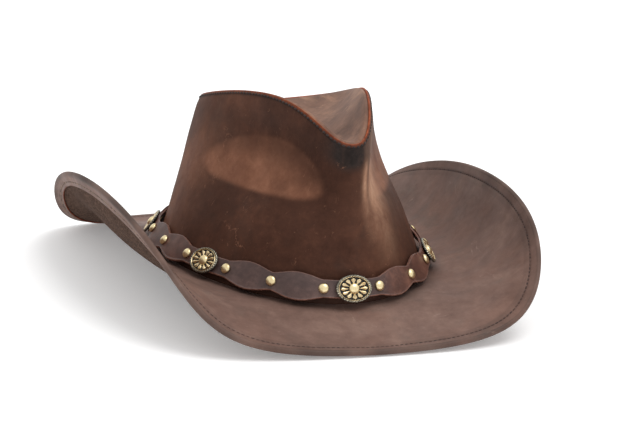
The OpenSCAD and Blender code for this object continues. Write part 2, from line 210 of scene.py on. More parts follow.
def even_wall(t, u):
    """Outside of the crown's wall without wear: t round the hat, u from foot to lip."""
    t, u = np.broadcast_arrays(np.asarray(t, float), np.asarray(u, float))
    a, b = foot(t), lip(t, lean(t), LIP_R)
    run = b - a
    low = a + run * np.array([WALL_RUN, WALL_RUN, WALL_LIFT])
    high = b - lip_dir(t, lean(t) + 90) * run[..., 2:3] * WALL_CREST
    p = bezier((a, low, high, b), u)
    outward = unit(foot_out(t) + rim_out(t))
    dent = DENT_DEPTH * bump(half_turn(t), DENT_ANGLE, DENT_SPAN) * bump(u, DENT_AT, DENT_TALL)
    return p - outward * dent[..., None]


def wall(t, u):
    """Outside of the crown's wall, worn."""
    t, u = np.broadcast_arrays(np.asarray(t, float), np.asarray(u, float))
    p = even_wall(t, u)
    return p + unit(foot_out(t) + rim_out(t)) * crown_wear(p, t, u)[..., None]


def wall_n(t, u):
    return unit(np.cross(wall(t + 1, u) - wall(t - 1, u), wall(t, u + 0.01) - wall(t, u - 0.01)))


def wall_in(t, u, d):
    """The wall moved in by d, level at the foot."""
    t, u = np.broadcast_arrays(np.asarray(t, float), np.asarray(u, float))
    flat = smooth(u, 0.0, 0.02)[..., None]
    n = unit(foot_out(t) * (1 - flat) + wall_n(t, u) * flat)
    return wall(t, u) - n * np.asarray(d)[..., None]


def wall_share(t, h):
    return h / (3 * WALL_LIFT * rise(t))


def brim_wear(p, u):
    """Unevenness of the brim, upward in millimetres."""
    soft = 0.9 * wander(p, 60, 21) + 0.3 * wander(p, 22, 22) + 0.07 * wander(p, 7, 23)
    return soft * smooth(u, 0.12, 0.4) * (1 - 0.75 * smooth(u, 0.8, 1.0))


def brim(t, u):
    """Top face of the brim: t round the hat, u from the crown's foot to the edge."""
    t, u = np.broadcast_arrays(np.asarray(t, float), np.asarray(u, float))
    a, b = foot(t), edge(t)
    run = (b - a) * np.array([1, 1, 0.0])
    lift = (b - a)[..., 2]
    curl = np.clip(edge_z(t) / CURL, 0, 1)
    low = a + run * 0.45 + vec(0, 0, np.minimum(lift, 0) * 0.45)
    high = b - run * (0.40 - 0.28 * curl)[..., None] - vec(0, 0, lift * 0.55 * curl)
    p = bezier((a, low, high, b), u)
    return p + vec(0, 0, brim_wear(p, u))


def brim_n(t, u):
    return unit(np.cross(brim(t, u + 0.01) - brim(t, u - 0.01), brim(t + 1, u) - brim(t - 1, u)))


def brim_in(t, u, d):
    return brim(t, u) - brim_n(t, u) * np.asarray(d)[..., None]


def brim_share(t, d):
    """Share of the brim that lies d in from its edge."""
    return 1 - d / (np.linalg.norm(brim(t, 1.0) - brim(t, 0.9), axis=-1) * 10)


def roll(t, a, r):
    """Point on the rolled edge: angle a from outward to up, radius r."""
    t, a = np.broadcast_arrays(np.asarray(t, float), np.asarray(a, float))
    n, o = brim_n(t, 1.0), unit(brim(t, 1.0) - brim(t, 0.98))
    centre = brim(t, 1.0) - (o + n) * ROLL_R
    return centre + (o * cos(a)[..., None] + n * sin(a)[..., None]) * r


def tip(t, r):
    """Creased top panel: r from the middle to the rim."""
    t, r = np.broadcast_arrays(np.asarray(t, float), np.asarray(r, float))
    e = rim(t)
    high = lip(t, LIP_END, LIP_R - HIDE - LAY)[..., 2]
    x, y = e[..., 0] * r, -RIM_FORWARD + (e[..., 1] + RIM_FORWARD) * r
    z = CREASE_Z + (high - CREASE_Z) * r**CREASE_POWER
    p = vec(x, y, z)
    soft = 0.8 * wander(p, 34, 31) + 0.25 * wander(p, 12, 32)
    return p + vec(0, 0, soft * (1 - smooth(r, 0.75, 0.97)))


# ---------------------------------------------------------------- meshes


def make_mesh(name, verts_mm, faces, marks=None, smooth_shade=True):
    me = bpy.data.meshes.new(name)
    v = (np.asarray(verts_mm, float) * MM).reshape(-1, 3)
    me.from_pydata(v.tolist(), [], [list(map(int, f)) for f in faces])
    me.update()
    if smooth_shade:
        me.polygons.foreach_set("use_smooth", [True] * len(me.polygons))
    for key, values in (marks or {}).items():
        a = me.attributes.new(key, "FLOAT", "POINT")
        a.data.foreach_set("value", np.asarray(values, np.float32).ravel())
    ob = bpy.data.objects.new(name, me)
    bpy.context.scene.collection.objects.link(ob)
    return ob


def quads(m, n, closed_u):
    """Faces of a grid of m rings of n points; each ring closes on itself."""
    rows = m if closed_u else m - 1
    i, j = np.meshgrid(np.arange(rows), np.arange(n), indexing="ij")
    a = i * n + j
    b = i * n + (j + 1) % n
    c = ((i + 1) % m) * n + (j + 1) % n
    d = ((i + 1) % m) * n + j
    return np.stack([a, b, c, d], -1).reshape(-1, 4)


def skin(name, rings, marks=None):
    """Closed mesh over rings (m, n, 3); marks are (m, n) arrays."""
    m, n = rings.shape[:2]
    return make_mesh(name, rings, quads(m, n, True), marks)


def copies(name, template, faces, frames, marks=None):
    """One mesh with a copy of template (k, 3) at each frame (origin, x, y, z)."""
    o, x, y, z = frames
    k = len(template)
    pts = (
        o[:, None]
        + template[None, :, 0:1] * x[:, None]
        + template[None, :, 1:2] * y[:, None]
        + template[None, :, 2:3] * z[:, None]
    )
    fs = [[i * k + a for a in f] for i in range(len(o)) for f in faces]
    spread = {key: np.repeat(v, k) for key, v in (marks or {}).items()}
    return make_mesh(name, pts.reshape(-1, 3), fs, spread)


def tube_template(length, radius, sag, rings=9, sides=8):
    """A stitch along x, bowed so that its ends dive below z = 0."""
    pts, faces = [], []
    for i in range(rings):
        s = i / (rings - 1) * 2 - 1
        r = radius * math.sqrt(max(0.0, 1 - abs(s) ** 6)) + 0.02
        for j in range(sides):
            a = 2 * math.pi * j / sides
            pts.append((s * length / 2, r * math.cos(a), r * 0.8 * math.sin(a) - sag * s**4))
    for i in range(rings - 1):
        for j in range(sides):
            a, b = i * sides + j, i * sides + (j + 1) % sides
            faces.append((a, b, b + sides, a + sides))
    faces.append(tuple(range(sides))[::-1])
    faces.append(tuple((rings - 1) * sides + j for j in range(sides)))
    return np.array(pts), faces


def even_turns(curve, pitch, start=0.0):
    """Angles spread evenly along a closed curve, about pitch apart."""
    t = np.linspace(0, 360, 2881)
    p = curve(t)
    s = np.concatenate([[0], np.cumsum(np.linalg.norm(np.diff(p, axis=0), axis=1))])
    count = int(round(s[-1] / pitch))
    return np.interp((np.arange(count) + start) * s[-1] / count, s, t), s[-1]


def stitches(name, curve, normal, pitch, length, radius, sink, seed):
    """Stitches lying along a closed curve on a surface with the given normal."""
    t, _ = even_turns(curve, pitch)
    rng = np.random.default_rng(seed)
    p, n = curve(t), normal(t)
    x = unit(curve(t + 0.2) - curve(t - 0.2))
    n = unit(n - x * dot(x, n)[:, None])
    y = np.cross(n, x)
    tilt = np.radians(rng.normal(4, 2.0, len(t)))[:, None]
    x, y = x * np.cos(tilt) + y * np.sin(tilt), y * np.cos(tilt) - x * np.sin(tilt)
    size = rng.normal(1, 0.05, len(t))[:, None]
    template, faces = tube_template(length, radius, radius * 1.5)
    return copies(name, template, faces, (p - n * sink, x * size, y, n), {"shade": rng.random(len(t))})


# ---------------------------------------------------------------- materials


class Nodes:
    """Short hand for a material's node tree."""

    def __init__(self, name):
        self.material = bpy.data.materials.new(name)
        self.material.use_nodes = True
        self.tree = self.material.node_tree
        self.shader = self.tree.nodes["Principled BSDF"]
        self.coords = self.add("ShaderNodeTexCoord").outputs["Object"]

    def add(self, kind, **inputs):
        node = self.tree.nodes.new(kind)
        for key, value in inputs.items():
            self.put(node.inputs[key.replace("_", " ")], value)
        return node

    def put(self, socket, value):
        if isinstance(value, bpy.types.NodeSocket):
            self.tree.links.new(value, socket)
        else:
            socket.default_value = value

    def stretched(self, scale, turn=(0, 0, 0)):
        node = self.add("ShaderNodeMapping", Vector=self.coords)
        node.inputs["Scale"].default_value = scale
        node.inputs["Rotation"].default_value = turn
        return node.outputs["Vector"]

    def noise(self, scale, detail=4.0, rough=0.55, distort=0.0, vector=None):
        node = self.add("ShaderNodeTexNoise", Scale=scale, Detail=detail, Roughness=rough, Distortion=distort)
        self.put(node.inputs["Vector"], vector or self.coords)
        return node.outputs["Fac"]

    def cells(self, scale, feature="DISTANCE_TO_EDGE"):
        node = self.add("ShaderNodeTexVoronoi", Scale=scale)
        node.feature = feature
        self.put(node.inputs["Vector"], self.coords)
        return node.outputs["Distance"]

    def mark(self, name):
        node = self.add("ShaderNodeAttribute")
        node.attribute_name = name
        return node.outputs["Fac"]

    def ramp(self, fac, *stops):
        node = self.add("ShaderNodeValToRGB", Fac=fac)
        band = node.color_ramp
        while len(band.elements) < len(stops):
            band.elements.new(0.5)
        for element, (at, colour) in zip(band.elements, stops):
            element.position = at
            element.color = colour if len(colour) == 4 else (*colour, 1)
        return node.outputs["Color"]

    def steps(self, fac, low, high, to=(0.0, 1.0)):
        node = self.add("ShaderNodeMapRange", Value=fac)
        node.interpolation_type = "SMOOTHSTEP"
        node.inputs["From Min"].default_value = low
        node.inputs["From Max"].default_value = high
        node.inputs["To Min"].default_value = to[0]
        node.inputs["To Max"].default_value = to[1]
        return node.outputs["Result"]

    def math(self, op, a, b=0.0):
        node = self.add("ShaderNodeMath")
        node.operation = op
        self.put(node.inputs[0], a)
        self.put(node.inputs[1], b)
        return node.outputs[0]

    def mix(self, fac, a, b, mode="MIX"):
        node = self.add("ShaderNodeMix")
        node.data_type = "RGBA"
        node.blend_type = mode
        self.put(node.inputs["Factor"], fac)
        self.put(node.inputs[6], a if isinstance(a, bpy.types.NodeSocket) else (*a, 1))
        self.put(node.inputs[7], b if isinstance(b, bpy.types.NodeSocket) else (*b, 1))
        return node.outputs[2]

    def relief(self, *layers):
        """Bump from (height, strength, distance in mm) layers."""
        normal = None
        for height, strength, distance in layers:
            node = self.add("ShaderNodeBump", Height=height, Strength=strength, Distance=distance * MM)
            if normal is not None:
                self.put(node.inputs["Normal"], normal)
            normal = node.outputs["Normal"]
        self.put(self.shader.inputs["Normal"], normal)

    def set(self, **inputs):
        for key, value in inputs.items():
            self.put(self.shader.inputs[key.replace("_", " ")], value)


def srgb(r, g, b):
    """Colour from 0 to 255 screen values, as linear light."""

    def one(c):
        c /= 255
        return c / 12.92 if c <= 0.04045 else ((c + 0.055) / 1.055) ** 2.4

    return one(r), one(g), one(b)


def leather_relief(n, grain=1.0, scuff=1.0):
    """Pores, fine wrinkles and scratches of worn leather."""
    pores = n.cells(1150)
    fine = n.noise(2600, 3, 0.6)
    wrinkles = n.noise(160, 5, 0.62, 0.6)
    drawn_out = n.stretched((1, 5, 2), (0.3, 0.5, 0.7))
    scratches = n.steps(n.noise(60, 6, 0.75, 1.6, drawn_out), 0.60, 0.72)
    off_level = n.math("ABSOLUTE", n.math("SUBTRACT", n.noise(17, 5, 0.6, 0.9), 0.5))
    patches = n.steps(n.noise(26, 2, 0.5), 0.56, 0.68)
    hairs = n.math("MULTIPLY", n.steps(off_level, 0.0, 0.006, (1, 0)), patches)
    scratches = n.math("MAXIMUM", scratches, hairs)
    n.relief(
        (pores, 0.18 * grain, 0.12),
        (fine, 0.25 * grain, 0.08),
        (wrinkles, 0.30 * grain, 0.45),
        (scratches, -0.20 * scuff, 0.15),
    )
    return scratches


def mottled(n, dark, mid, light, size=22.0):
    """Cloudy three-tone colour."""
    clouds = n.noise(size, 5, 0.62, 0.4)
    fine = n.noise(size * 7, 4, 0.7, 0.3)
    blend = n.math("ADD", n.math("MULTIPLY", clouds, 0.72), n.math("MULTIPLY", fine, 0.28))
    return n.ramp(blend, (0.36, dark), (0.50, mid), (0.66, light))


def raw_edge(n):
    """Cut edge of the leather, dyed orange."""
    return mottled(n, srgb(110, 54, 34), srgb(150, 74, 45), srgb(182, 100, 64), 240)


def crown_material():
    n = Nodes("crown_leather")
    base = mottled(n, srgb(58, 35, 26), srgb(72, 45, 34), srgb(90, 57, 43), 22)
    # Lighter copy of the crown leather, used as painted highlight.
    painted_highlight_leather = mottled(n, srgb(102, 65, 49), srgb(120, 80, 61), srgb(138, 95, 74), 34)
    cloud = n.steps(n.noise(26, 5, 0.65, 0.7), 0.50, 0.68, (0, 0.45))
    base = n.mix(cloud, base, mottled(n, srgb(50, 34, 28), srgb(62, 44, 37), srgb(78, 56, 47), 70))
    # Painted highlight: the lighter copy is laid into the dent and onto the crown's sides.
    base = n.mix(n.mark("painted_highlight"), base, painted_highlight_leather)
    # Pale tan on the right of the front notch: partly worn streaks, partly a painted highlight on the right
    # front facet.
    tan = mottled(n, srgb(128, 90, 70), srgb(158, 118, 94), srgb(182, 144, 118), 40)
    base = n.mix(n.mark("pale_wear_and_highlight"), base, tan)
    # Near-black leather below the front notch and just under the lip; near the foot and in a band above the
    # dent this darkening is painted shade.
    base = n.mix(n.mark("burnish_and_shade"), base, mottled(n, srgb(26, 21, 20), srgb(36, 30, 28), srgb(52, 42, 39), 60))
    streaks = n.noise(22, 5, 0.6, 0.4, n.stretched((1, 1, 0.28)))
    base = n.mix(n.steps(streaks, 0.54, 0.74, (0, 0.20)), base, srgb(104, 68, 50))
    scratches = leather_relief(n, 0.9)
    base = n.mix(n.math("MULTIPLY", scratches, 0.45), base, srgb(148, 104, 82))
    base = n.mix(n.mark("raw"), base, raw_edge(n))
    roughness = n.steps(n.noise(34, 4, 0.6), 0.3, 0.75, (0.58, 0.72))
    n.set(Base_Color=base, Roughness=roughness, Specular_IOR_Level=0.10)
    return n.material


def tip_material():
    n = Nodes("tip_leather")
    base = mottled(n, srgb(94, 66, 52), srgb(118, 85, 68), srgb(140, 104, 84), 26)
    brushed = n.noise(30, 6, 0.65, 0.5, n.stretched((3.2, 0.55, 1.0), (0, 0, 0.5)))
    base = n.mix(n.steps(brushed, 0.5, 0.72, (0, 0.75)), base, srgb(164, 124, 98))
    base = n.mix(n.steps(brushed, 0.46, 0.30, (0, 0.55)), base, srgb(78, 52, 41))
    scratches = leather_relief(n, 0.9)
    base = n.mix(n.math("MULTIPLY", scratches, 0.5), base, srgb(176, 138, 112))
    n.set(Base_Color=base, Roughness=0.62, Specular_IOR_Level=0.3)
    return n.material


def brim_material():
    n = Nodes("brim_leather")
    base = mottled(n, srgb(96, 73, 64), srgb(114, 88, 78), srgb(134, 107, 95), 24)
    warm = n.steps(n.noise(15, 4, 0.6, 0.5), 0.45, 0.65)
    reddish = mottled(n, srgb(94, 66, 55), srgb(113, 82, 70), srgb(134, 101, 87), 40)
    base = n.mix(n.math("MULTIPLY", warm, 0.5), base, reddish)
    cool = n.steps(n.noise(30, 5, 0.7, 0.8), 0.52, 0.70, (0, 0.55))
    base = n.mix(cool, base, mottled(n, srgb(84, 69, 62), srgb(98, 82, 74), srgb(116, 98, 88), 60))
    # Darker leather on the rolled edge; near the crown's foot and along the stitch groove this darkening is
    # painted shade.
    base = n.mix(n.mark("burnish_and_shade"), base, srgb(50, 38, 33))
    scratches = leather_relief(n, 0.8)
    base = n.mix(n.math("MULTIPLY", scratches, 0.45), base, srgb(158, 131, 118))
    base = n.mix(n.mark("raw"), base, raw_edge(n))
    roughness = n.steps(n.noise(40, 4, 0.6), 0.3, 0.75, (0.56, 0.72))
    n.set(Base_Color=base, Roughness=roughness, Specular_IOR_Level=0.28)
    return n.material


def suede_material():
    n = Nodes("suede")
    base = mottled(n, srgb(40, 28, 23), srgb(56, 40, 33), srgb(74, 55, 46), 60)
    fibres = n.noise(620, 5, 0.85, 0.6)
    base = n.mix(n.steps(fibres, 0.42, 0.64, (0, 0.8)), base, srgb(120, 93, 78))
    base = n.mix(n.steps(fibres, 0.46, 0.32, (0, 0.8)), base, srgb(30, 21, 17))
    n.relief((fibres, 1.0, 0.7), (n.noise(380, 4, 0.7), 0.4, 0.35))
    n.set(Base_Color=base, Roughness=0.95, Specular_IOR_Level=0.1)
    return n.material


def sweat_material():
    n = Nodes("sweatband_leather")
    base = mottled(n, srgb(40, 27, 22), srgb(58, 40, 33), srgb(76, 54, 44), 40)
    n.relief((n.cells(1500), 0.12, 0.08), (n.noise(240, 4, 0.6), 0.15, 0.2))
    n.set(Base_Color=base, Roughness=0.42, Specular_IOR_Level=0.45)
    return n.material


def strap_material():
    n = Nodes("strap_leather")
    plum = mottled(n, srgb(58, 42, 40), srgb(78, 59, 55), srgb(102, 80, 75), 34)
    rust = mottled(n, srgb(60, 35, 27), srgb(86, 53, 42), srgb(120, 79, 63), 34)
    base = n.mix(n.mark("rust"), plum, rust)
    scratches = leather_relief(n, 0.6, 1.2)
    base = n.mix(n.math("MULTIPLY", scratches, 0.3), base, srgb(130, 104, 94))
    cut = mottled(n, srgb(88, 56, 46), srgb(124, 84, 70), srgb(150, 108, 92), 300)
    base = n.mix(n.mark("raw"), base, cut)
    roughness = n.steps(n.noise(60, 4, 0.6), 0.3, 0.75, (0.40, 0.56))
    n.set(Base_Color=base, Roughness=roughness, Specular_IOR_Level=0.4)
    return n.material


def thread_material(name, dark, light):
    n = Nodes(name)
    base = n.mix(n.mark("shade"), dark, light)
    twist = n.add("ShaderNodeTexWave", Scale=900.0, Distortion=1.5)
    n.put(twist.inputs["Vector"], n.stretched((1, 1, 1), (0.5, 0.6, 0.7)))
    n.relief((twist.outputs["Fac"], 0.6, 0.15))
    n.set(Base_Color=base, Roughness=0.6, Specular_IOR_Level=0.4)
    return n.material


def brass_material(name, bright, deep):
    """Worn brass with darker tarnish."""
    n = Nodes(name)
    tarnish = n.noise(170, 4, 0.55, 0.4)
    base = n.mix(n.steps(tarnish, 0.45, 0.75, (0, 0.5)), bright, deep)
    n.relief((n.noise(1500, 3, 0.6), 0.03, 0.03))
    n.set(Base_Color=base, Metallic=1.0, Roughness=n.steps(tarnish, 0.3, 0.75, (0.30, 0.40)))
    return n.material


def concho_material():
    """Plated metal: gold petals, a grey-gold border and blackened hollows."""
    n = Nodes("concho_metal")
    tarnish = n.noise(420, 5, 0.65, 0.4)
    gold = n.mix(n.steps(tarnish, 0.4, 0.7), srgb(234, 214, 172), srgb(186, 156, 108))
    border = n.mix(n.steps(tarnish, 0.4, 0.7), srgb(176, 170, 152), srgb(98, 94, 84))
    base = n.mix(n.mark("border"), gold, border)
    # Blackened hollows; the same mark on the plate's back is painted shade.
    pit = n.steps(n.mark("pit"), 0.25, 0.75)
    base = n.mix(pit, base, srgb(24, 27, 31))
    n.relief((n.noise(1500, 3, 0.6), 0.08, 0.06))
    metallic, roughness = n.steps(pit, 0.0, 1.0, (1.0, 0.2)), n.steps(pit, 0.0, 1.0, (0.26, 0.6))
    n.set(Base_Color=base, Metallic=metallic, Roughness=roughness)
    return n.material


def wire_material():
    n = Nodes("spring_wire")
    drawn = n.noise(500, 4, 0.6)
    grey = n.ramp(drawn, (0.3, (0.25, 0.25, 0.26)), (0.7, (0.45, 0.45, 0.46)))
    n.set(Base_Color=grey, Metallic=1.0, Roughness=0.35)
    return n.material


MATERIALS = {
    "crown": crown_material(),
    "tip": tip_material(),
    "brim": brim_material(),
    "suede": suede_material(),
    "sweat": sweat_material(),
    "strap": strap_material(),
    "thread": thread_material("waxed_thread", srgb(24, 18, 16), srgb(48, 36, 31)),
    "brim_thread": thread_material("brim_thread", srgb(50, 33, 29), srgb(84, 58, 50)),
    "worn_thread": thread_material("worn_thread", srgb(84, 64, 54), srgb(150, 126, 108)),
    "brass": brass_material("antique_brass", srgb(240, 222, 176), srgb(196, 166, 116)),
    "concho": concho_material(),
    "wire": wire_material(),
}


def place(ob, material, body, node):
    """Gives a piece its material and ties it to the CAD part it stands for."""
    ob.data.materials.clear()
    ob.data.materials.append(MATERIALS[material])
    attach(ob, body)
    if node:
        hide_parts(node)
    return ob


# ---------------------------------------------------------------- crown

CROWN_T = np.linspace(0, 360, 540, endpoint=False)[None]
WALL_U = np.linspace(0, 1, 130)


def lip_rows(r, steps, to_crest=False):
    """Rings round the turned top, up to the wall's raw edge or on to the crest."""
    end = LIP_END + 0 * CROWN_T if to_crest else lean(CROWN_T) + RAW_TURN
    a = lean(CROWN_T) + (end - lean(CROWN_T)) * np.linspace(0, 1, steps)[:, None]
    return lip(np.broadcast_to(CROWN_T, a.shape), a, r)


def build_crown_side():
    up = np.array([0, 0, LAY])
    inner = wall_in(CROWN_T, WALL_U[:-1:2][:, None], HIDE)
    lip_inner, lip_outer = lip_rows(LIP_R - HIDE, 12), lip_rows(LIP_R, 16)
    outer = wall(CROWN_T, WALL_U[:-1][:, None])
    middle = (lip_inner[-1:] + lip_outer[-1:]) / 2 + (lip_inner[-1:] - lip_inner[-2:-1]) * 0.5
    rings = np.concatenate([inner, lip_inner, middle, lip_outer[::-1], outer[::-1]]) + up
    n_in, n_lip, n_out = len(inner), len(lip_inner) + 1 + len(lip_outer), len(outer)
    u = np.concatenate([WALL_U[:-1:2], np.ones(n_lip), WALL_U[:-1][::-1]])[:, None]
    t = half_turn(CROWN_T)
    shape = rings.shape[:2]
    outside = np.concatenate([np.zeros(n_in), np.ones(n_lip + n_out)])[:, None]
    # Painted highlight: a lighter patch in the dent, brightest at its lower part, and lighter bands low on
    # both sides towards the back.
    dent_r = np.sqrt(((t - 60 + 62 * (u - 0.63)) / 40) ** 2 + ((u - 0.63) / 0.16) ** 2)
    painted_highlight = (1 - smooth(dent_r, 0.82, 1.02)) * (0.30 + 0.70 * (1 - smooth(u, 0.54, 0.74)))
    painted_highlight = painted_highlight + 0.95 * bump(t, 112, 18) * (1 - 0.8 * smooth(u, 0.5, 0.9))
    # Pale tan on the right of the front notch: partly worn streaks, partly a painted highlight on the right
    # front facet.
    turn = (CROWN_T + 180) % 360 - 180
    pale_wear_and_highlight = 0.7 * bump(turn, 27, 9) * bump(u, 0.58, 0.26) + 0.8 * bump(turn, 14, 4) * bump(u, 0.72, 0.20)
    pale_wear_and_highlight = pale_wear_and_highlight + 0.9 * bump(turn, 42, 12) * bump(u, 0.72, 0.22)
    patch = wander(rings, 16, 41) * 0.35 + wander(rings, 6, 42) * 0.20
    # Darker leather below the front notch and a dark line just under the lip; the darkening near the foot,
    # behind the band, and in a band above the dent is painted shade.
    burnish_and_shade = bump(turn, -4, 17) * smooth(u, 0.80, 0.92) * 1.6 * (1 - 0.4 * smooth(u, 0.985, 1.0))
    burnish_and_shade = burnish_and_shade + 0.75 * bump(u, 0.992, 0.007)
    burnish_and_shade = burnish_and_shade + 0.35 * (1 - smooth(u, 0.0, 0.16)) + 0.22 * bump(u, 0.84, 0.07) * bump(t, 58, 40)
    raw = np.zeros(shape)
    raw[n_in + len(lip_inner) - 1 : n_in + len(lip_inner) + 3] = 1
    fade = np.linspace(0.42, 0.12, n_lip - len(lip_inner) - 3)
    raw[n_in + len(lip_inner) + 3 : n_in + n_lip] = fade[:, None]
    marks = {
        "painted_highlight": np.clip(painted_highlight * (1 + patch), 0, 1) * outside,
        "burnish_and_shade": np.clip(burnish_and_shade * (1 + patch), 0, 1) * outside,
        "pale_wear_and_highlight": np.clip(pale_wear_and_highlight * (1 + patch), 0, 1) * outside,
        "raw": raw,
    }
    ob = skin("crown_side_leather", rings, {k: np.broadcast_to(v, shape) for k, v in marks.items()})
    place(ob, "crown", "hat", "crown_side")


def build_crown_tip():
    under = HIDE + LAY
    r = np.linspace(0.02, 0.94, 60)[:, None]
    top = tip(CROWN_T, r)
    lip_top, lip_low = lip_rows(LIP_R - under, 20, True)[::-1], lip_rows(LIP_R - under - TIP_HIDE, 20, True)
    margin = wall_in(CROWN_T, np.array([[0.97], [0.94]]), under + LAY)
    back = wall_in(CROWN_T, np.array([[0.94], [0.97]]), under + LAY + TIP_HIDE)
    low = (top - np.array([0, 0, TIP_HIDE * 1.2]))[::-1]
    rings = np.concatenate([top, lip_top, margin, back, lip_low, low])
    m, n = rings.shape[:2]
    faces = quads(m, n, False).tolist()
    faces.append(list(range(n))[::-1])
    faces.append([(m - 1) * n + j for j in range(n)])
    ob = make_mesh("crown_tip_leather", rings, faces)
    place(ob, "tip", "hat", "crown_tip")


def build_crown_stitching():
    def line(t):
        return lip(t, lean(t), LIP_R)

    def normal(t):
        return lip_dir(t, lean(t))

    ob = stitches("crown_stitches", line, normal, 3.2, 2.3, 0.55, -0.10, 5)
    place(ob, "thread", "hat", "crown_stitching")


# ---------------------------------------------------------------- brim

BRIM_T = np.linspace(0, 360, 720, endpoint=False)[None]
ROLL_TUCK = ROLL_R + WIRE_D / 2 + 0.3
HEM_MID = 5.5
GROOVE_DEPTH, GROOVE_W = 0.35, 0.9


def from_edge(d):
    """Brim share for a column of distances from the edge."""
    return brim_share(BRIM_T, np.asarray(d, float)[:, None])


def groove(d):
    """Dent that the stitches pull into the leather, d from the edge."""
    return GROOVE_DEPTH * bump(np.asarray(d, float)[:, None], BRIM_STITCH_IN, GROOVE_W)


def build_brim_top():
    out = HIDE + LAY
    near = np.arange(HEM_W + ROLL_R + 1, ROLL_R, -0.4)
    far_u = from_edge(near[:1])
    inner_u = np.linspace(0, 1, 70)[:-1, None] * far_u
    edge_u = from_edge(near)
    top = brim(BRIM_T, inner_u)
    top_near = brim_in(BRIM_T, edge_u, groove(near) + 0 * edge_u)
    angles = np.linspace(90, -90, 15)[:, None]
    bead = roll(BRIM_T, angles, ROLL_R)
    hem = np.arange(ROLL_TUCK + 1, HEM_W + ROLL_R - 0.2, 0.4)
    hem_u = from_edge(hem)
    under = brim_in(BRIM_T, hem_u, HEM_LOW - groove(hem) * 0.8 + 0 * hem_u)
    last = from_edge([HEM_W + ROLL_R])
    raw_edge = np.concatenate([
        brim_in(BRIM_T, last, HEM_LOW - 0.25 + 0 * last),
        brim_in(BRIM_T, last + 0.0006, (HEM_LOW + HEM_TOP) / 2 + 0 * last),
        brim_in(BRIM_T, last, HEM_TOP + 0.15 + 0 * last),
    ])
    tuck = from_edge([ROLL_TUCK])
    hem_upper_u = from_edge([HEM_W, HEM_MID, ROLL_TUCK])
    hem_upper = brim_in(BRIM_T, hem_upper_u, HEM_TOP + 0 * hem_upper_u)
    cavity = roll(BRIM_T, np.linspace(-90, 90, 7)[:, None], WIRE_D / 2 + LAY)
    low_edge_u = np.concatenate([tuck, from_edge([HEM_MID]), far_u])
    low = brim_in(BRIM_T, low_edge_u, BRIM_HIDE + 0 * low_edge_u)
    low_u = (np.linspace(1, 0, 30)[1:, None] * far_u)[:-1]
    low_inner = brim_in(BRIM_T, low_u, BRIM_HIDE + 0 * low_u)
    t = BRIM_T + 0 * tuck
    corner_low = wall_in(t, 0 * t, out + BRIM_HIDE + 0 * t) - np.array([0, 0, BRIM_HIDE])
    share = wall_share(t, COLLAR_H)
    collar = np.concatenate([wall_in(t, share, out + BRIM_HIDE + 0 * t), wall_in(t, share, out + 0 * t)])
    corner = wall_in(t, 0 * t, out + 0 * t)
    outside = [top, top_near, bead, under, raw_edge]
    parts = outside + [hem_upper, cavity, low, low_inner, corner_low, collar, corner]
    rings = np.concatenate(parts)
    counts = np.cumsum([0] + [len(p) for p in parts])
    raw = np.zeros(rings.shape[:2])
    raw[counts[4] : counts[5]] = 1
    # Darker rolled edge; the darkening near the crown's foot and in the stitch groove is painted shade.
    burnish_and_shade = np.zeros(rings.shape[:2])
    burnish_and_shade[: counts[1]] = 0.55 * (1 - smooth(np.linspace(0, 1, counts[1]), 0.0, 0.22))[:, None]
    burnish_and_shade[counts[1] : counts[2]] = 0.16 + 0.2 * bump(near, BRIM_STITCH_IN, 1.0)[:, None]
    burnish_and_shade[counts[2] : counts[3]] = 0.45
    burnish_and_shade = np.clip(burnish_and_shade * (1 + 0.8 * wander(rings, 14, 43)), 0, 1)
    ob = skin("brim_top_leather", rings, {"raw": raw, "burnish_and_shade": burnish_and_shade})
    place(ob, "brim", "hat", "brim_top")


def build_brim_underlay():
    top = BRIM_HIDE + LAY
    out = HIDE + BRIM_HIDE + 2 * LAY
    end = from_edge([ROLL_TUCK])
    u = np.linspace(0, 1, 90)[1:, None] * end
    upper = brim_in(BRIM_T, u[::3], top + 0 * u[::3])
    lower = brim_in(BRIM_T, u[::-1], top + SUEDE + 0 * u)
    t = BRIM_T + 0 * end
    share = wall_share(t, COLLAR_H)
    rings = np.concatenate([
        upper,
        brim_in(BRIM_T, end, top + 0 * end),
        lower,
        wall_in(t, 0 * t, out + SUEDE + 0 * t) - np.array([0, 0, top + SUEDE]),
        wall_in(t, share, out + SUEDE + 0 * t),
        wall_in(t, share, out + 0 * t),
        wall_in(t, 0 * t, out + 0 * t) - np.array([0, 0, top]),
    ])
    ob = skin("brim_underlay_suede", rings)
    place(ob, "suede", "hat", "brim_underlay")


def build_brim_wire():
    rings = roll(BRIM_T, np.arange(0, 360, 30.0)[::-1][:, None], WIRE_D / 2)
    place(skin("brim_spring_wire", rings), "wire", "hat", "brim_wire")


def build_brim_stitching():
    def line(d):
        def at(t):
            return brim_in(t, brim_share(t, BRIM_STITCH_IN), d + 0 * t)

        return at

    def up(t):
        return brim_n(t, brim_share(t, BRIM_STITCH_IN))

    def down(t):
        return -up(t)

    top = stitches("brim_stitches_top", line(GROOVE_DEPTH), up, 3.2, 2.7, 0.42, -0.10, 6)
    low = stitches("brim_stitches_under", line(HEM_LOW - GROOVE_DEPTH * 0.8), down, 3.2, 2.7, 0.42, -0.10, 7)
    place(top, "brim_thread", "hat", "brim_stitching")
    place(low, "worn_thread", "hat", None)


# ---------------------------------------------------------------- sweatband


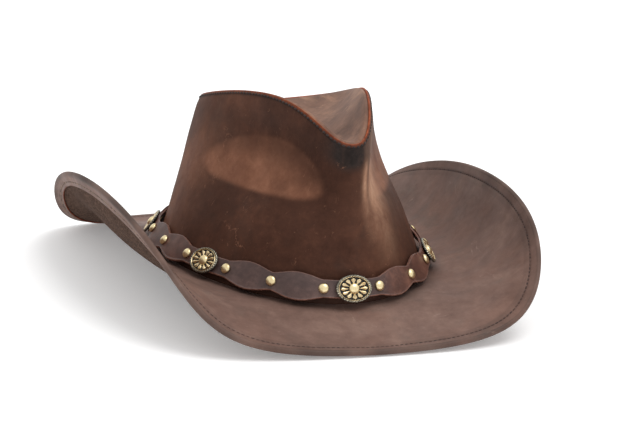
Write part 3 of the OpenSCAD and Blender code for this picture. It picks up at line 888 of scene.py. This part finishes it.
def build_sweatband():
    h = np.linspace(0, SWEAT_H, 40)[:, None]
    share = wall_share(CROWN_T, h)
    drop = np.zeros(share.shape + (3,))
    drop[0, :, 2] = BRIM_HIDE + SUEDE
    ripple = 0.35 * wander(wall(CROWN_T, share), 30, 51) * smooth(h, 10, 30)
    outer = wall_in(CROWN_T, share, SWEAT_OUT + ripple + 0 * share) - drop
    inner = wall_in(CROWN_T, share, SWEAT_OUT + SWEAT_HIDE + ripple + 0 * share) - drop
    crest = (outer[-1:] + inner[-1:]) / 2 + np.array([0, 0, 0.35])
    ob = skin("sweatband_leather_strip", np.concatenate([outer, crest, inner[::-1]]))
    place(ob, "sweat", "hat", "sweatband")


def build_foot_stitching():
    depth = SWEAT_OUT + SWEAT_HIDE

    def line(t):
        return wall_in(t, wall_share(t, COLLAR_H / 2), depth + 0 * t)

    def inward(t):
        return -wall_n(t, wall_share(t, COLLAR_H / 2))

    ob = stitches("foot_stitches", line, inward, 4.0, 3.3, 0.42, -0.08, 8)
    place(ob, "thread", "hat", "foot_stitching")


# ---------------------------------------------------------------- hat band


def strap_lean(t):
    ends = (STRAP_LEAN_FRONT * (1 + cos(t)) + STRAP_LEAN_BACK * (1 - cos(t))) / 2
    return STRAP_LEAN_SIDE * sin(t) ** 2 + ends * cos(t) ** 2


def strap_n(t):
    return foot_out(t) * cos(strap_lean(t))[..., None] + vec(0, 0, sin(strap_lean(t)))


def strap_up(t):
    return vec(0, 0, cos(strap_lean(t))) - foot_out(t) * sin(strap_lean(t))[..., None]


def strap_line(t):
    """Middle of the strap's outer face: its inner top edge stands STRAP_GAP off the wall."""
    tall = STRAP_REST + STRAP_WIDE * cos(strap_lean(t))
    p = even_wall(t, wall_share(t, tall))
    p[..., 2] = foot(t)[..., 2] + tall
    return p + foot_out(t) * STRAP_GAP + strap_n(t) * STRAP_T - strap_up(t) * STRAP_WIDE / 2


STRAP_TABLE_T = np.linspace(0, 360, 3601)
STRAP_TABLE_STEP = np.linalg.norm(np.diff(strap_line(STRAP_TABLE_T), axis=0), axis=1)
STRAP_TABLE_S = np.concatenate([[0], np.cumsum(STRAP_TABLE_STEP)])
STRAP_LEN = STRAP_TABLE_S[-1]
CONCHO_STEP = STRAP_LEN / CONCHOS
STUD_PLACES = (STUD_STEP, CONCHO_STEP / 2, CONCHO_STEP - STUD_STEP)
STUDS = [q * CONCHO_STEP + d for q in range(CONCHOS) for d in STUD_PLACES]
CONCHO_AT = [q * CONCHO_STEP for q in range(CONCHOS)]


def strap_turn(s):
    return np.interp(np.asarray(s, float) % STRAP_LEN, STRAP_TABLE_S, STRAP_TABLE_T)


def strap_half(s):
    m = s % CONCHO_STEP
    near = np.minimum(m, CONCHO_STEP - m)
    f = (near - STUD_STEP) / (CONCHO_STEP / 2 - STUD_STEP)
    swell = np.clip(sin(180 * np.clip(f, 0, 1)), 0, 1) ** 1.3
    return STRAP_NARROW / 2 + (STRAP_WIDE - STRAP_NARROW) / 2 * swell


def strap_frame(s):
    """Origin on the strap's outer face, then along, up and out of it."""
    t = strap_turn(s)
    return strap_line(t), np.cross(strap_up(t), strap_n(t)), strap_up(t), strap_n(t)


# Nick in the strap's upper edge: distance along the strap, half width and depth
NICK_AT, NICK_HALF, NICK_DEPTH = CONCHO_STEP / 2 + 23, 1.4, 2.4


def build_strap():
    s = np.linspace(0, STRAP_LEN, 1500, endpoint=False)[None]
    origin, along, up, out = strap_frame(s)
    side, corner = 16, 5
    half = strap_half(s)
    round_r = 0.7
    outline, marks_raw = [], []
    for k in np.linspace(-1, 1, side):
        outline.append((k * (half - round_r), 0 * half))
        marks_raw.append(0.0)
    for a in np.linspace(90, 0, corner):
        outline.append((half - round_r + round_r * cos(90 - a), -round_r + round_r * sin(a)))
        marks_raw.append(1.0 if a < 80 else 0.6)
    for a in np.linspace(0, -90, corner):
        outline.append((half - round_r + round_r * cos(a), -STRAP_T + round_r + round_r * sin(a)))
        marks_raw.append(1.0)
    for k in np.linspace(1, -1, side):
        outline.append((k * (half - round_r), -STRAP_T + 0 * half))
        marks_raw.append(0.2)
    for a in np.linspace(-90, 0, corner):
        outline.append((-half + round_r - round_r * cos(a), -STRAP_T + round_r + round_r * sin(a)))
        marks_raw.append(1.0)
    for a in np.linspace(0, 90, corner):
        outline.append((-half + round_r - round_r * cos(a), -round_r + round_r * sin(a)))
        marks_raw.append(1.0 if a < 80 else 0.6)
    rows = []
    for h, d in outline:
        p = origin + up * h[..., None] + out * (d + 0 * h)[..., None]
        rough = 0.12 * wander(p, 9, 61) + 0.10 * wander(p, 25, 62)
        cup = -0.25 * (h / half) ** 2 * smooth(half, 7, 9)
        nick = NICK_DEPTH * np.clip(1 - np.abs(s - NICK_AT) / NICK_HALF, 0, 1) * np.clip(h / half, 0, 1) ** 3
        p = p - up * nick[..., None]
        rows.append(p + out * (rough + cup)[..., None] + up * (0.10 * wander(p, 4, 63))[..., None])
    rings = np.concatenate(rows)
    marks_raw = np.array(marks_raw)[:, None] + 0 * s
    ahead = (s + STRAP_LEN / 2) % STRAP_LEN - STRAP_LEN / 2
    rust = smooth(ahead, 16, 34) * (1 - smooth(ahead, 150, 190)) + 0 * marks_raw
    rust = rust + (1 - smooth(ahead, -125, -108)) * smooth(ahead, -240, -200)
    rust = np.clip(rust + 0.25 * wander(rings, 20, 64), 0, 1)
    ob = skin("hat_band_leather", rings, {"raw": marks_raw, "rust": rust})
    place(ob, "strap", "hat_band", "hat_band_strap")


def turned(profile, sides=32):
    """Closed solid of revolution about z from (radius, height) points that start and end on the axis."""
    pts, faces = [], []
    body = profile[1:-1]
    for r, z in body:
        for j in range(sides):
            a = 2 * math.pi * j / sides
            pts.append((r * math.cos(a), r * math.sin(a), z))
    for i in range(len(body) - 1):
        for j in range(sides):
            a, b = i * sides + j, i * sides + (j + 1) % sides
            faces.append((a, b, b + sides, a + sides))
    first, last = len(pts), len(pts) + 1
    pts += [(0, 0, profile[0][1]), (0, 0, profile[-1][1])]
    for j in range(sides):
        faces.append((first, (j + 1) % sides, j))
        top = (len(body) - 1) * sides
        faces.append((last, top + j, top + (j + 1) % sides))
    return np.array(pts), faces


# Radius of a rivet's shank, and height of the upright edge under its dome
SHANK_R, DOME_EDGE = 0.9, 0.55


def cap_profile(d, tall, seat, shank):
    """Domed cap on a shank, from the shank's end up to the crown of the dome."""
    r = d / 2
    base = [(0, -shank), (SHANK_R, -shank), (SHANK_R, seat)]
    rim_edge = [(r - 0.35, seat), (r - 0.08, seat + 0.12), (r, seat + 0.32)]
    dome = [(r * cos(a), seat + DOME_EDGE + (tall - DOME_EDGE) * sin(a)) for a in range(0, 90, 9)]
    return base + rim_edge + dome + [(0, seat + tall)]


def caps(name, places, d, tall, seat, seed, node):
    origin, along, up, out = strap_frame(np.array(places))
    rng = np.random.default_rng(seed)
    tilt = rng.normal(0, 0.03, (len(places), 2))
    out = unit(out + along * tilt[:, :1] + up * tilt[:, 1:])
    along = unit(along - out * dot(along, out)[:, None])
    pts, faces = turned(cap_profile(d, tall, seat, STRAP_T + 0.6), 40)
    ob = copies(name, pts, faces, (origin, along, np.cross(out, along), out))
    place(ob, "brass", "hat_band", node)


# Share of a concho's radius where each of its zones ends
HUB, PETAL_IN, PETAL_OUT, RIDGE, ROPE = 0.30, 0.33, 0.74, 0.84, 0.93
PETALS, ROPES = 12, 34


def concho_height(r, a):
    """Height of a concho's face over its back at radius share r and angle a, with pit and border marks."""
    dome = 0.5 * (1 - r * r)
    spoke = (a / 360 * PETALS + 0.5) % 1 - 0.5
    along = np.clip((r - PETAL_IN) / (PETAL_OUT - PETAL_IN), 0, 1)
    width = 0.20 + 0.22 * smooth(along, 0.0, 0.7)
    end = np.sqrt(np.clip(1 - np.clip((along - 0.72) / 0.28, 0, 1) ** 2, 0, 1))
    ridge = np.sqrt(np.clip(1 - (spoke / (width * end + 1e-6)) ** 2, 0, 1)) * (along > 0) * (along < 1)
    petal = ridge * (0.55 + 0.55 * along)
    hub = 0.35 * (1 - smooth(r, HUB - 0.04, HUB + 0.02))
    ring = 1.25 * bump(r, RIDGE, 0.028)
    twist = 0.5 + 0.5 * np.cos(np.radians(a * ROPES + (r - ROPE) * 2600))
    rope = np.sqrt(np.clip(1 - ((r - ROPE) / 0.075) ** 2, 0, 1)) * (0.85 + 0.35 * twist)
    z = 0.45 + dome + petal + hub + np.maximum(ring, rope)
    raised_border = np.maximum(ring / 1.25, rope * (0.35 + 0.65 * twist))
    pit = 1 - np.clip(ridge * 1.4 + raised_border * 1.3 + hub * 1.2, 0, 1)
    border = smooth(r, RIDGE + 0.01, ROPE - 0.05)
    return z, pit, border


def build_concho(q, node):
    sides, rows = 288, 84
    a = np.linspace(0, 360, sides, endpoint=False)[None]
    r = np.linspace(0.0, 1.0, rows)[:, None]
    r[0] = 0.01
    z, pit, border = concho_height(r + 0 * a, a + 0 * r)
    wave = 1 + 0.018 * np.cos(np.radians(a * ROPES)) * smooth(r, 0.9, 1.0)
    top = vec(CONCHO_W / 2 * r * cos(a) * wave, CONCHO_H / 2 * r * sin(a) * wave, z + CONCHO_SEAT)
    back_r = np.array([1.0, 0.97, 0.9, 0.5, 0.12])[:, None]
    back_z = np.array([0.35, 0.05, 0.35, 0.55, 0.0])[:, None]
    half_w, half_h = CONCHO_W / 2, CONCHO_H / 2
    back = vec(half_w * back_r * cos(a), half_h * back_r * sin(a), back_z + CONCHO_SEAT + 0 * a)
    rings = np.concatenate([top, back])
    m = len(rings)
    faces = quads(m, sides, False).tolist()
    faces.append(list(range(sides))[::-1])
    faces.append([(m - 1) * sides + j for j in range(sides)])
    pad = np.zeros((len(back), sides))
    # The plate's back takes the dark hollow colour: painted shade where it faces the strap.
    marks = {"pit": np.concatenate([pit, pad + 0.7]), "border": np.concatenate([border, pad])}
    origin, along, up, out = strap_frame(np.array([CONCHO_AT[q]]))
    p = rings.reshape(-1, 3)
    world = origin + p[:, :1] * along + p[:, 1:2] * up + p[:, 2:] * out
    ob = make_mesh(node + "_plate", world, faces, marks)
    place(ob, "concho", "hat_band", node)


# ---------------------------------------------------------------- the whole hat

build_crown_side()
build_crown_tip()
build_crown_stitching()
build_brim_top()
build_brim_underlay()
build_brim_wire()
build_brim_stitching()
build_sweatband()
build_foot_stitching()
build_strap()
caps("stud_domes", STUDS, STUD_D, 2.4, 0.1, 9, "stud_caps")
caps("concho_domes", CONCHO_AT, 7.0, 2.6, CONCHO_SEAT + 0.6, 10, "concho_rivets")
PLACES = ("front", "left_front", "left_rear", "rear", "right_rear", "right_front")
for q, where in enumerate(PLACES):
    build_concho(q, "concho_" + where)

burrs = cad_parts["rivet_burrs"]
burrs.data.materials.clear()
burrs.data.materials.append(MATERIALS["brass"])

# ---------------------------------------------------------------- floor, light and camera


def floor_material():
    n = Nodes("paper")
    white = n.ramp(n.noise(3, 2, 0.5), (0.3, (0.88, 0.88, 0.88)), (0.7, (0.90, 0.90, 0.90)))
    n.set(Base_Color=white, Roughness=0.9, Specular_IOR_Level=0.1)
    n.set(Emission_Color=(1, 1, 1, 1), Emission_Strength=0.22)
    return n.material


FLOOR_HALF = 9000


def build_floor():
    corners = [(x * FLOOR_HALF, y * FLOOR_HALF, 0) for x, y in ((-1, -1), (1, -1), (1, 1), (-1, 1))]
    ob = make_mesh("floor", corners, [(0, 1, 2, 3)])
    ob.data.materials.append(floor_material())


def sun(name, direction, strength, angle, colour=(1, 1, 1)):
    """Soft distant light; direction points from the hat to the light."""
    data = bpy.data.lights.new(name, "SUN")
    data.energy, data.angle, data.color = strength, math.radians(angle), colour
    ob = bpy.data.objects.new(name, data)
    ob.rotation_mode = "QUATERNION"
    ob.rotation_quaternion = Vector(direction).to_track_quat("Z", "Y")
    bpy.context.scene.collection.objects.link(ob)


def build_light():
    world = bpy.data.worlds.new("studio")
    world.use_nodes = True
    world.node_tree.nodes["Background"].inputs["Color"].default_value = (1, 1, 1, 1)
    world.node_tree.nodes["Background"].inputs["Strength"].default_value = 0.92
    bpy.context.scene.world = world
    sun("key", (0.30, -0.28, 1.0), 1.15, 34)
    bpy.context.scene.view_settings.view_transform = "Standard"


# Camera: where it stands, its distance (in metres), its roll, what it looks at, its lens and its shift
AZIMUTH, ELEVATION, DISTANCE, ROLL = -20.6, 13.3, 1.633, 2.88
AIM = Vector((0, -0.0045, 0.06))
LENS, SHIFT = 138.8, (0.0452, -0.0268)


def build_camera():
    a, e = math.radians(AZIMUTH), math.radians(ELEVATION)
    back = Vector((math.sin(a) * math.cos(e), -math.cos(a) * math.cos(e), math.sin(e)))
    data = bpy.data.cameras.new("camera")
    data.lens, data.sensor_width = LENS, 36
    data.shift_x, data.shift_y = SHIFT
    data.clip_start, data.clip_end = 0.05, 50
    ob = bpy.data.objects.new("camera", data)
    ob.location = AIM + back * DISTANCE
    ob.rotation_mode = "QUATERNION"
    turn = Matrix.Rotation(math.radians(ROLL), 4, "Z").to_quaternion()
    ob.rotation_quaternion = (-back).to_track_quat("-Z", "Y") @ turn
    bpy.context.scene.collection.objects.link(ob)
    bpy.context.scene.camera = ob


build_floor()
build_light()
build_camera()
